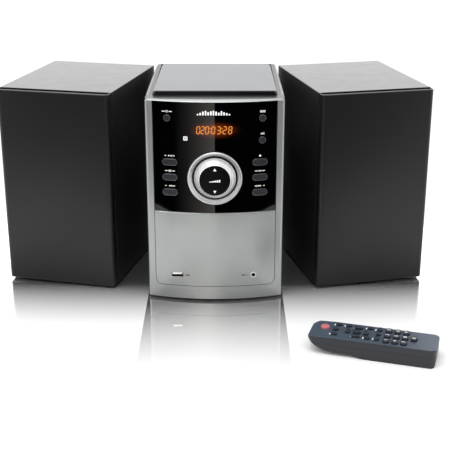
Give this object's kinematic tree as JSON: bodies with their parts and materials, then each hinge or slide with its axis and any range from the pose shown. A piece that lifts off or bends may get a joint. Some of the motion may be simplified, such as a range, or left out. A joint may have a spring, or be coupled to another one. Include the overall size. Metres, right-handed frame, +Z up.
{
  "type": "mini hifi system",
  "caption": "Compact top-loading CD receiver with a curved control front, a pair of toed-out cloth-fronted speakers and a slim remote control.",
  "frame": {"origin": "middle of the whole set's footprint, on the surface it stands on", "axes": "+Z up, +Y from the receiver's front towards its back, +X to the right as seen from the front"},
  "size_m": [0.5032, 0.4044, 0.2428],
  "materials": {
    "silver_plastic": "silver-painted ABS, satin",
    "gloss_black": "gloss black moulding",
    "acrylic": "polished black acrylic",
    "case_black": "black grained plastic",
    "foot_rubber": "soft black rubber",
    "screw_steel": "black zinc-plated steel",
    "ring_silver": "spun aluminium",
    "knob_silver": "grey metallic-painted ABS",
    "plated_steel": "nickel-plated steel",
    "inner_black": "black plastic, fine texture",
    "deck_steel": "zinc-plated sheet steel",
    "gear_nylon": "white acetal",
    "circuit_board": "solder-masked board",
    "display_window": "smoked display with lit orange digits",
    "core_iron": "laminated core with a taped winding",
    "sink_aluminium": "extruded aluminium",
    "socket_black": "black moulded plastic",
    "button_silver": "silver-painted plastic",
    "cabinet_foil": "gloss black foil on fibreboard",
    "grille_cloth": "charcoal acoustic cloth on a black frame",
    "basket_steel": "black pressed steel",
    "cone_paper": "black pulp paper",
    "remote_shell": "blue-grey textured plastic",
    "key_rubber": "dark silicone keys",
    "power_red": "red translucent cap",
    "battery_jacket": "printed foil jacket"
  },
  "bodies": {
    "receiver": {"front_bezel": "silver_plastic", "control_panel": "acrylic", "lower_panel": "silver_plastic", "knob_ring": "ring_silver", "usb_socket": "plated_steel", "aux_jack": "plated_steel", "rear_cabinet": "case_black", "case_screws": "screw_steel", "base_tray": "case_black", "rubber_feet": "foot_rubber", "top_cover": "silver_plastic", "disc_well": "inner_black", "mech_deck": "deck_steel", "spindle_motor": "plated_steel", "sled_motor": "plated_steel", "front_board": "circuit_board", "display_module": "display_window", "main_board": "circuit_board", "transformer": "core_iron", "heat_sink": "sink_aluminium", "rear_sockets": "socket_black", "mains_inlet": "socket_black"},
    "lid": {"cd_lid": "silver_plastic", "lid_grip": "gloss_black"},
    "disc_clamp": {"disc_clamp": "inner_black"},
    "turntable": {"turntable": "inner_black"},
    "laser_sled": {"laser_sled": "inner_black"},
    "sled_gear": {"sled_gear": "gear_nylon"},
    "sled_pinion": {"sled_pinion": "gear_nylon"},
    "volume_rocker": {"volume_rocker": "knob_silver"},
    "play_button": {"play_button": "button_silver"},
    "folder_button": {"folder_button": "button_silver"},
    "back_button": {"back_button": "button_silver"},
    "stop_button": {"stop_button": "button_silver"},
    "memory_button": {"memory_button": "button_silver"},
    "next_button": {"next_button": "button_silver"},
    "standby_button": {"standby_button": "button_silver"},
    "mode_button": {"mode_button": "button_silver"},
    "tone_button": {"tone_button": "button_silver"},
    "left_speaker": {"left_cabinet": "cabinet_foil", "left_woofer_frame": "basket_steel", "left_port_tube": "socket_black", "left_lead_gland": "socket_black", "left_feet": "foot_rubber"},
    "left_grille": {"left_grille": "grille_cloth"},
    "left_woofer_cone": {"left_woofer_cone": "cone_paper"},
    "right_speaker": {"right_cabinet": "cabinet_foil", "right_woofer_frame": "basket_steel", "right_port_tube": "socket_black", "right_lead_gland": "socket_black", "right_feet": "foot_rubber"},
    "right_grille": {"right_grille": "grille_cloth"},
    "right_woofer_cone": {"right_woofer_cone": "cone_paper"},
    "remote": {"remote_top": "remote_shell", "remote_bottom": "remote_shell", "remote_board": "circuit_board", "batteries": "battery_jacket"},
    "remote_keypad": {"remote_keypad": "key_rubber"},
    "remote_power_key": {"remote_power_key": "power_red"},
    "battery_cover": {"battery_cover": "remote_shell"}
  },
  "joints": [
    {"name": "lid_hinge", "type": "hinge", "parent": "receiver", "child": "lid", "pos_m": [0, 0.17037, 0.2355], "axis": [-1, 0, 0], "range_deg": [0, 60]},
    {"name": "disc_clamp_spin", "type": "hinge", "parent": "lid", "child": "disc_clamp", "pos_m": [0, 0.08287, 0.232], "axis": [0, 0, 1], "continuous": true},
    {"name": "turntable_spin", "type": "hinge", "parent": "receiver", "child": "turntable", "pos_m": [0, 0.08287, 0.212], "axis": [0, 0, 1], "continuous": true},
    {"name": "laser_sled_slide", "type": "slide", "parent": "receiver", "child": "laser_sled", "axis": [0, -1, 0], "range_m": [0, 0.034]},
    {"name": "sled_gear_spin", "type": "hinge", "parent": "receiver", "child": "sled_gear", "pos_m": [-0.0226, 0.04187, 0.21], "axis": [0, 0, 1], "range_deg": [-400, 400]},
    {"name": "sled_pinion_spin", "type": "hinge", "parent": "receiver", "child": "sled_pinion", "pos_m": [-0.0364, 0.04187, 0.209], "axis": [0, 0, 1], "range_deg": [-1400, 1400]},
    {"name": "volume_rocker_tilt", "type": "hinge", "parent": "receiver", "child": "volume_rocker", "pos_m": [0, -0.02913, 0.15], "axis": [1, 0, 0], "range_deg": [-2.5, 2.5], "stiffness_Nm_per_rad": 0.35},
    {"name": "play_button_press", "type": "slide", "parent": "receiver", "child": "play_button", "axis": [0, 1, 0], "range_m": [0, 0.001], "stiffness_N_per_m": 400, "springref_m": -0.0005},
    {"name": "folder_button_press", "type": "slide", "parent": "receiver", "child": "folder_button", "axis": [0, 1, 0], "range_m": [0, 0.001], "stiffness_N_per_m": 400, "springref_m": -0.0005},
    {"name": "back_button_press", "type": "slide", "parent": "receiver", "child": "back_button", "axis": [0, 1, 0], "range_m": [0, 0.001], "stiffness_N_per_m": 400, "springref_m": -0.0005},
    {"name": "stop_button_press", "type": "slide", "parent": "receiver", "child": "stop_button", "axis": [0, 1, 0], "range_m": [0, 0.001], "stiffness_N_per_m": 400, "springref_m": -0.0005},
    {"name": "memory_button_press", "type": "slide", "parent": "receiver", "child": "memory_button", "axis": [0, 1, 0], "range_m": [0, 0.001], "stiffness_N_per_m": 400, "springref_m": -0.0005},
    {"name": "next_button_press", "type": "slide", "parent": "receiver", "child": "next_button", "axis": [0, 1, 0], "range_m": [0, 0.001], "stiffness_N_per_m": 400, "springref_m": -0.0005},
    {"name": "standby_button_press", "type": "slide", "parent": "receiver", "child": "standby_button", "axis": [0, 1, 0], "range_m": [0, 0.001], "stiffness_N_per_m": 400, "springref_m": -0.0005},
    {"name": "mode_button_press", "type": "slide", "parent": "receiver", "child": "mode_button", "axis": [0, 1, 0], "range_m": [0, 0.001], "stiffness_N_per_m": 400, "springref_m": -0.0005},
    {"name": "tone_button_press", "type": "slide", "parent": "receiver", "child": "tone_button", "axis": [0, 1, 0], "range_m": [0, 0.001], "stiffness_N_per_m": 400, "springref_m": -0.0005},
    {"name": "left_speaker_place", "type": "slide", "parent": "receiver", "child": "left_speaker", "axis": [-1, 0, 0], "range_m": [0, 0.3]},
    {"name": "left_grille_pull", "type": "slide", "parent": "left_speaker", "child": "left_grille", "axis": [-0.2284, -0.9736, 0], "range_m": [0, 0.04]},
    {"name": "left_woofer_stroke", "type": "slide", "parent": "left_speaker", "child": "left_woofer_cone", "axis": [-0.2284, -0.9736, 0], "range_m": [-0.002, 0.002], "stiffness_N_per_m": 900},
    {"name": "right_speaker_place", "type": "slide", "parent": "receiver", "child": "right_speaker", "axis": [1, 0, 0], "range_m": [0, 0.3]},
    {"name": "right_grille_pull", "type": "slide", "parent": "right_speaker", "child": "right_grille", "axis": [0.2284, -0.9736, 0], "range_m": [0, 0.04]},
    {"name": "right_woofer_stroke", "type": "slide", "parent": "right_speaker", "child": "right_woofer_cone", "axis": [0.2284, -0.9736, 0], "range_m": [-0.002, 0.002], "stiffness_N_per_m": 900},
    {"name": "remote_place", "type": "slide", "parent": "receiver", "child": "remote", "axis": [0, -1, 0], "range_m": [0, 0.15]},
    {"name": "remote_power_key_press", "type": "slide", "parent": "remote", "child": "remote_power_key", "axis": [0, 0, -1], "range_m": [0, 0.0008], "stiffness_N_per_m": 300, "springref_m": -0.0004},
    {"name": "remote_keypad_press", "type": "slide", "parent": "remote", "child": "remote_keypad", "axis": [0, 0, -1], "range_m": [0, 0.0006], "stiffness_N_per_m": 600, "springref_m": -0.0004},
    {"name": "battery_cover_slide", "type": "slide", "parent": "remote", "child": "battery_cover", "axis": [0.9563, -0.2924, 0], "range_m": [0, 0.052]}
  ],
  "couplings": [
    {"joint": "sled_gear_spin", "follows": "laser_sled_slide", "rad_per_m": -178.57},
    {"joint": "sled_pinion_spin", "follows": "laser_sled_slide", "rad_per_m": 642.86}
  ]
}
